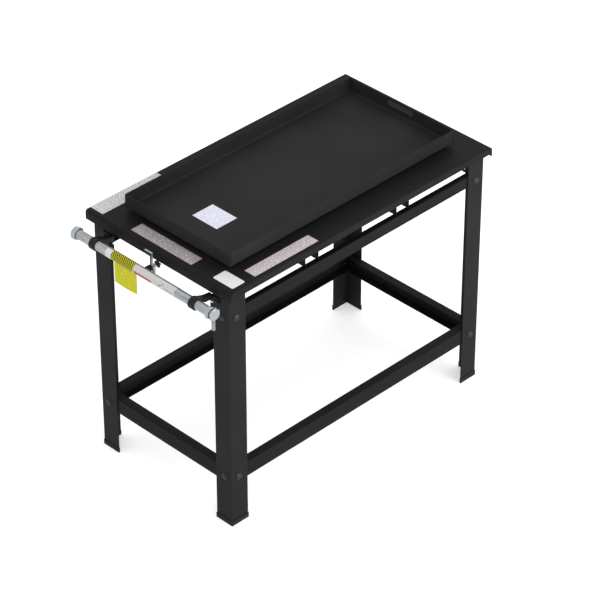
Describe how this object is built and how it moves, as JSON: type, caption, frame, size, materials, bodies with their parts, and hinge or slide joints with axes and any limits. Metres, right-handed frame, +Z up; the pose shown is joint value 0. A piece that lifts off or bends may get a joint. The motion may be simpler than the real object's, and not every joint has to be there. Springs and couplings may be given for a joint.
{
  "type": "bench-top forge table",
  "caption": "Black steel forge table on angle legs with a lift-out hearth pan and a valved gas manifold pipe at one end.",
  "frame": {"origin": "on the floor, under the middle of the whole object; the middle of the four feet is 34 mm towards +X of it", "axes": "+Z up; +X along the table, away from the manifold pipe; +Y across the table, away from the inlet fitting"},
  "size_m": [1.0684, 0.562, 0.8395],
  "materials": {
    "black_powder_coat": "fine-textured satin black powder coat on folded and angle steel",
    "black_sheet_coat": "satin black coat on folded sheet steel, slightly smoother than the frame's",
    "black_rubber": "moulded black rubber, matt",
    "blackened_fastener_steel": "blackened steel with a light oil sheen",
    "galvanised_steel": "bright galvanised pipe and fittings, soft drawn sheen along the pipe",
    "zinc_plated_steel": "zinc-plated bar, satin",
    "black_knob_plastic": "moulded black plastic, matt",
    "white_vinyl": "printed white vinyl, low gloss",
    "yellow_vinyl": "yellow vinyl film, low gloss"
  },
  "bodies": {
    "table": {"band_hatched": "yellow_vinyl", "band_long": "white_vinyl", "band_plain": "white_vinyl", "cross_member_left": "black_powder_coat", "cross_member_right": "black_powder_coat", "foot_boot_back_left": "black_rubber", "foot_boot_back_right": "black_rubber", "foot_boot_front_left": "black_rubber", "foot_boot_front_right": "black_rubber", "frame_bolts": "blackened_fastener_steel", "frame_nuts": "blackened_fastener_steel", "frame_washers": "blackened_fastener_steel", "hanger_nuts": "blackened_fastener_steel", "hanger_screws": "blackened_fastener_steel", "hanging_tag": "yellow_vinyl", "inlet_block": "galvanised_steel", "inlet_nipple": "galvanised_steel", "inlet_seal": "black_rubber", "leg_back_left": "black_powder_coat", "leg_back_right": "black_powder_coat", "leg_front_left": "black_powder_coat", "leg_front_right": "black_powder_coat", "lower_rail_back": "black_powder_coat", "lower_rail_front": "black_powder_coat", "lower_rail_left": "black_powder_coat", "lower_rail_right": "black_powder_coat", "manifold_pipe": "galvanised_steel", "pipe_cap": "galvanised_steel", "pipe_collar": "galvanised_steel", "pipe_hanger_back": "black_powder_coat", "pipe_hanger_front": "black_powder_coat", "table_stickers": "white_vinyl", "table_top": "black_sheet_coat", "upper_rail_back": "black_powder_coat", "upper_rail_front": "black_powder_coat", "valve_body": "zinc_plated_steel", "valve_hub": "blackened_fastener_steel"},
    "pan": {"hearth_pan": "black_sheet_coat", "pan_feet": "black_sheet_coat", "pan_sticker": "white_vinyl"},
    "lever": {"valve_lever": "zinc_plated_steel"},
    "knob": {"star_knob": "black_knob_plastic", "valve_stem": "zinc_plated_steel"}
  },
  "joints": [
    {"name": "pan_lift", "type": "slide", "parent": "table", "child": "pan", "axis": [0, 0, 1], "range_m": [0, 0.12]},
    {"name": "lever_turn", "type": "hinge", "parent": "table", "child": "lever", "pos_m": [-0.4859, 0, 0.7465], "axis": [1, 0, 0], "range_deg": [0, 90]},
    {"name": "knob_turn", "type": "hinge", "parent": "table", "child": "knob", "pos_m": [-0.4676, 0, 0.7465], "axis": [1, 0, 0], "range_deg": [0, 540]}
  ]
}
